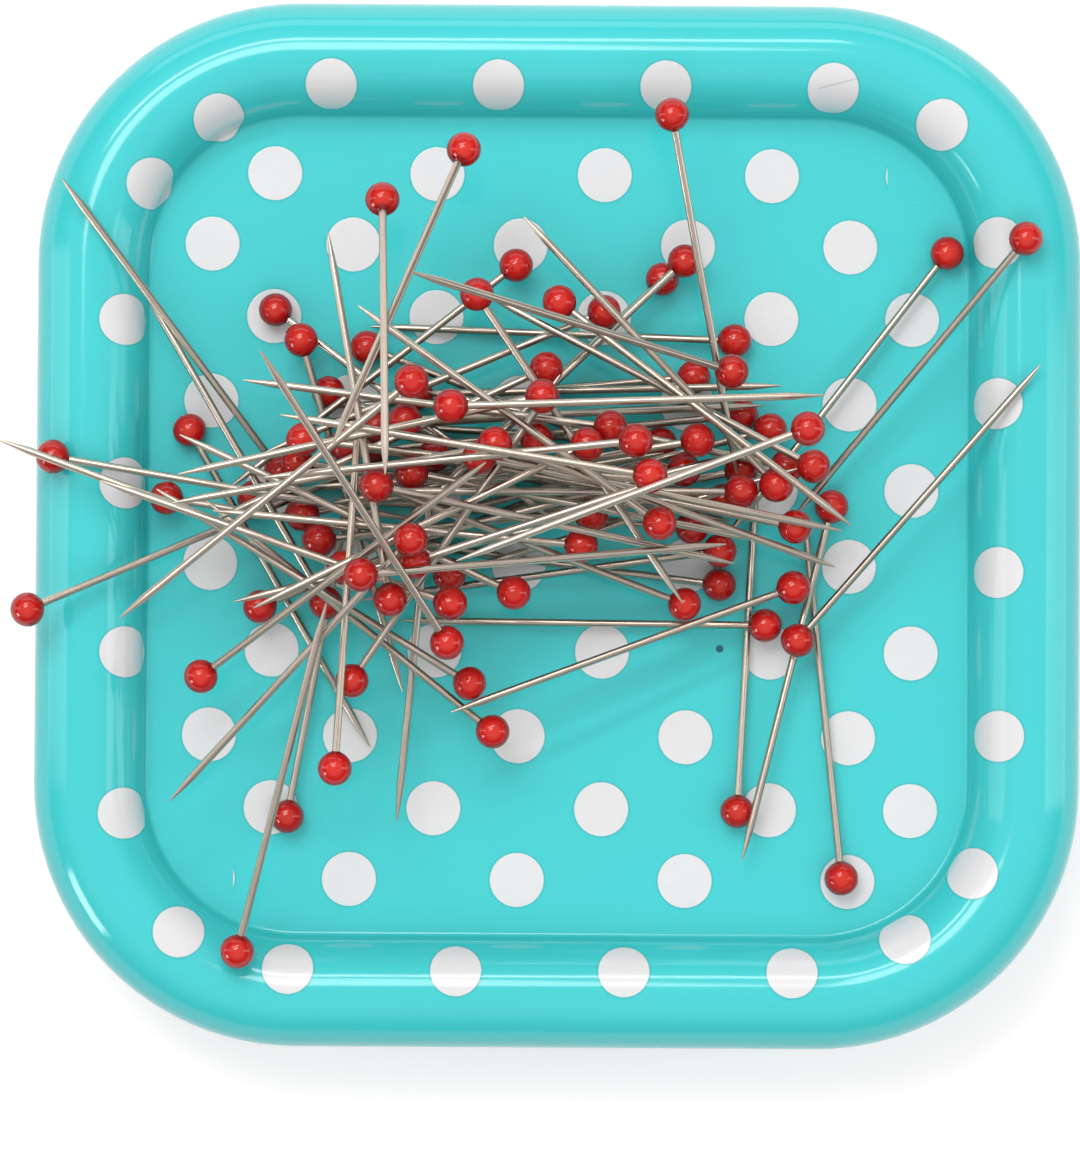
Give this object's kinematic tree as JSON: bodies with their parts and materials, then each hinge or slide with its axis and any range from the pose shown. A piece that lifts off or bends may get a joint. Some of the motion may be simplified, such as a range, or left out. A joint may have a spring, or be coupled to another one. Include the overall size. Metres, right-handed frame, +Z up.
{
  "type": "magnetic pin bowl",
  "caption": "Square bowl with round corners and a fat rounded rim, holding a heap of glass-headed pins by magnets under its floor.",
  "frame": {"origin": "middle of the anti-slip pad's bottom face, at table height", "axes": "+X to the right and +Y to the back, as the picture shows the bowl from above; +Z up"},
  "size_m": [0.0845, 0.082, 0.0461],
  "materials": {
    "tray": "glossy turquoise with white polka dots",
    "cover": "satin",
    "pad": "matte foam rubber",
    "ferrite": "sintered ferrite",
    "keeper": "zinc-plated",
    "screws": "zinc-plated",
    "pin_steel": "nickel-plated",
    "pin_glass": "opaque glossy red glass"
  },
  "bodies": {
    "dish": {"tray_shell": "tray", "base_cover": "cover", "keeper_plate": "keeper", "magnet_left": "ferrite", "magnet_right": "ferrite", "antislip_pad": "pad", "base_screws": "screws"},
    "heap": {"heap_lower_shafts": "pin_steel", "heap_lower_heads": "pin_glass", "heap_middle_shafts": "pin_steel", "heap_middle_heads": "pin_glass", "heap_upper_shafts": "pin_steel", "heap_upper_heads": "pin_glass"},
    "pin_01": {"pin_01_shaft": "pin_steel", "pin_01_head": "pin_glass"},
    "pin_02": {"pin_02_shaft": "pin_steel", "pin_02_head": "pin_glass"},
    "pin_03": {"pin_03_shaft": "pin_steel", "pin_03_head": "pin_glass"},
    "pin_04": {"pin_04_shaft": "pin_steel", "pin_04_head": "pin_glass"},
    "pin_05": {"pin_05_shaft": "pin_steel", "pin_05_head": "pin_glass"},
    "pin_06": {"pin_06_shaft": "pin_steel", "pin_06_head": "pin_glass"},
    "pin_07": {"pin_07_shaft": "pin_steel", "pin_07_head": "pin_glass"},
    "pin_08": {"pin_08_shaft": "pin_steel", "pin_08_head": "pin_glass"},
    "pin_09": {"pin_09_shaft": "pin_steel", "pin_09_head": "pin_glass"},
    "pin_10": {"pin_10_shaft": "pin_steel", "pin_10_head": "pin_glass"},
    "pin_11": {"pin_11_shaft": "pin_steel", "pin_11_head": "pin_glass"},
    "pin_12": {"pin_12_shaft": "pin_steel", "pin_12_head": "pin_glass"},
    "pin_13": {"pin_13_shaft": "pin_steel", "pin_13_head": "pin_glass"},
    "pin_14": {"pin_14_shaft": "pin_steel", "pin_14_head": "pin_glass"},
    "pin_15": {"pin_15_shaft": "pin_steel", "pin_15_head": "pin_glass"},
    "pin_16": {"pin_16_shaft": "pin_steel", "pin_16_head": "pin_glass"},
    "pin_17": {"pin_17_shaft": "pin_steel", "pin_17_head": "pin_glass"},
    "pin_18": {"pin_18_shaft": "pin_steel", "pin_18_head": "pin_glass"},
    "pin_19": {"pin_19_shaft": "pin_steel", "pin_19_head": "pin_glass"},
    "pin_20": {"pin_20_shaft": "pin_steel", "pin_20_head": "pin_glass"},
    "pin_21": {"pin_21_shaft": "pin_steel", "pin_21_head": "pin_glass"},
    "pin_22": {"pin_22_shaft": "pin_steel", "pin_22_head": "pin_glass"}
  },
  "joints": [
    {"name": "heap_lift", "type": "slide", "parent": "dish", "child": "heap", "axis": [0, 0, 1], "range_m": [0, 0.04]},
    {"name": "pin_01_draw", "type": "slide", "parent": "heap", "child": "pin_01", "axis": [0.6206, 0.7528, 0.2195], "range_m": [0, 0.02]},
    {"name": "pin_02_draw", "type": "slide", "parent": "heap", "child": "pin_02", "axis": [-0.986, 0.165, 0.025], "range_m": [0, 0.02]},
    {"name": "pin_03_draw", "type": "slide", "parent": "heap", "child": "pin_03", "axis": [0.9063, -0.4226, 0], "range_m": [0, 0.02]},
    {"name": "pin_04_draw", "type": "slide", "parent": "heap", "child": "pin_04", "axis": [-0.5592, 0.829, 0], "range_m": [0, 0.02]},
    {"name": "pin_05_draw", "type": "slide", "parent": "heap", "child": "pin_05", "axis": [-0.5576, -0.8267, -0.0748], "range_m": [0, 0.008]},
    {"name": "pin_06_draw", "type": "slide", "parent": "heap", "child": "pin_06", "axis": [0.9455, -0.3256, 0], "range_m": [0, 0.02]},
    {"name": "pin_07_draw", "type": "slide", "parent": "heap", "child": "pin_07", "axis": [-0.8808, -0.3922, 0.2652], "range_m": [0, 0.02]},
    {"name": "pin_08_draw", "type": "slide", "parent": "heap", "child": "pin_08", "axis": [-0.061, -0.9981, 0], "range_m": [0, 0.02]},
    {"name": "pin_09_draw", "type": "slide", "parent": "heap", "child": "pin_09", "axis": [-0.77, -0.5697, -0.2873], "range_m": [0, 0.007]},
    {"name": "pin_10_draw", "type": "slide", "parent": "heap", "child": "pin_10", "axis": [0.1736, -0.9848, 0], "range_m": [0, 0.02]},
    {"name": "pin_11_draw", "type": "slide", "parent": "heap", "child": "pin_11", "axis": [-0.7894, 0.6057, -0.0995], "range_m": [0, 0.02]},
    {"name": "pin_12_draw", "type": "slide", "parent": "heap", "child": "pin_12", "axis": [-0.1851, 0.9525, 0.2419], "range_m": [0, 0.02]},
    {"name": "pin_13_draw", "type": "slide", "parent": "heap", "child": "pin_13", "axis": [-0.9805, -0.0944, 0.1724], "range_m": [0, 0.013]},
    {"name": "pin_14_lift", "type": "slide", "parent": "heap", "child": "pin_14", "axis": [0, 0, 1], "range_m": [0, 0.03]},
    {"name": "pin_15_lift", "type": "slide", "parent": "heap", "child": "pin_15", "axis": [0, 0, 1], "range_m": [0, 0.03]},
    {"name": "pin_16_lift", "type": "slide", "parent": "heap", "child": "pin_16", "axis": [0, 0, 1], "range_m": [0, 0.01]},
    {"name": "pin_17_lift", "type": "slide", "parent": "pin_16", "child": "pin_17", "axis": [0, 0, 1], "range_m": [0, 0.03]},
    {"name": "pin_18_lift", "type": "slide", "parent": "heap", "child": "pin_18", "axis": [0, 0, 1], "range_m": [0, 0.03]},
    {"name": "pin_19_lift", "type": "slide", "parent": "heap", "child": "pin_19", "axis": [0, 0, 1], "range_m": [0, 0.03]},
    {"name": "pin_20_lift", "type": "slide", "parent": "heap", "child": "pin_20", "axis": [0, 0, 1], "range_m": [0, 0.03]},
    {"name": "pin_21_lift", "type": "slide", "parent": "pin_18", "child": "pin_21", "axis": [0, 0, 1], "range_m": [0, 0.03]},
    {"name": "pin_22_lift", "type": "slide", "parent": "pin_21", "child": "pin_22", "axis": [0, 0, 1], "range_m": [0, 0.03]}
  ]
}
